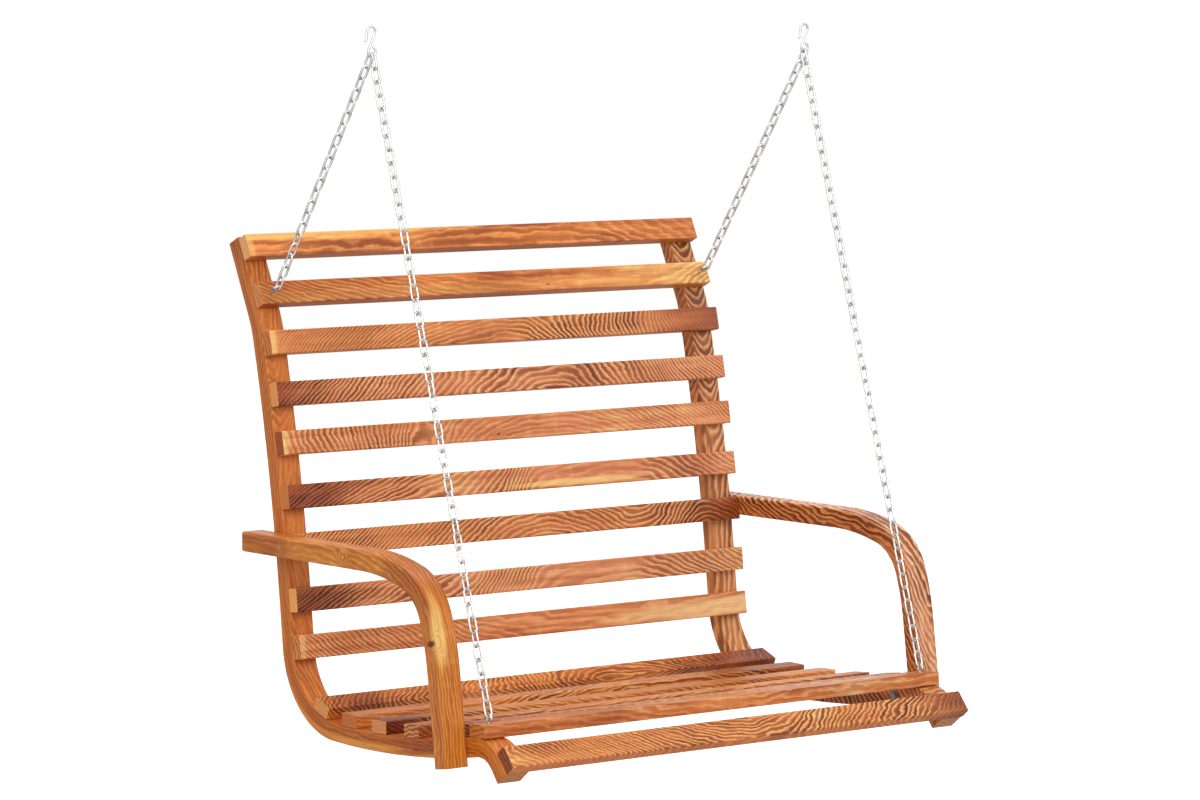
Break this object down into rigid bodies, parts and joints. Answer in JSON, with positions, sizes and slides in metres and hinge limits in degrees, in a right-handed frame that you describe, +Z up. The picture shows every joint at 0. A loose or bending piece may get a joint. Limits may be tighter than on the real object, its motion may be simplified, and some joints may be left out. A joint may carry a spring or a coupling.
{
  "type": "hanging porch swing bench",
  "caption": "Slatted bentwood porch swing seat with bent side rails and armrests, hung on chains from S-hooks.",
  "frame": {"origin": "middle of the hang axis, the line through the lower loops of both S-hooks, about which the bench swings", "axes": "+X along the bench to the viewer's right, the seat faces -Y, +Z up"},
  "size_m": [1.146, 0.9255, 1.2864],
  "materials": {
    "rail_wood": "teak-stained bent softwood, satin",
    "slat_wood": "teak-stained softwood with a strong grain, satin",
    "arm_wood": "teak-stained bent softwood, satin",
    "chain_zinc": "bright zinc-plated steel",
    "hook_zinc": "bright zinc-plated steel",
    "screw_zinc": "zinc-plated steel"
  },
  "bodies": {
    "hooks": {"s_hooks": "hook_zinc"},
    "bench": {"left_side_rail": "rail_wood", "right_side_rail": "rail_wood", "back_slat_1": "slat_wood", "back_slat_2": "slat_wood", "back_slat_3": "slat_wood", "back_slat_4": "slat_wood", "back_slat_5": "slat_wood", "back_slat_6": "slat_wood", "back_slat_7": "slat_wood", "back_slat_8": "slat_wood", "back_slat_9": "slat_wood", "rear_seat_slat": "slat_wood", "seat_slat_2": "slat_wood", "seat_slat_3": "slat_wood", "seat_slat_4": "slat_wood", "seat_slat_5": "slat_wood", "front_seat_slat": "slat_wood", "waterfall_slat": "slat_wood", "left_armrest": "arm_wood", "right_armrest": "arm_wood", "left_rear_chain": "chain_zinc", "left_front_chain": "chain_zinc", "right_rear_chain": "chain_zinc", "right_front_chain": "chain_zinc", "rear_eye_bolts": "hook_zinc", "front_eye_bolts": "hook_zinc", "eye_washers": "screw_zinc", "eye_nuts": "screw_zinc", "back_slat_screws": "screw_zinc", "seat_slat_screws": "screw_zinc", "arm_screws": "screw_zinc", "arm_washers": "screw_zinc"}
  },
  "joints": [
    {"name": "swing_pivot", "type": "hinge", "parent": "hooks", "child": "bench", "pos_m": [0, 0, 0], "axis": [1, 0, 0], "range_deg": [-30, 30]}
  ]
}
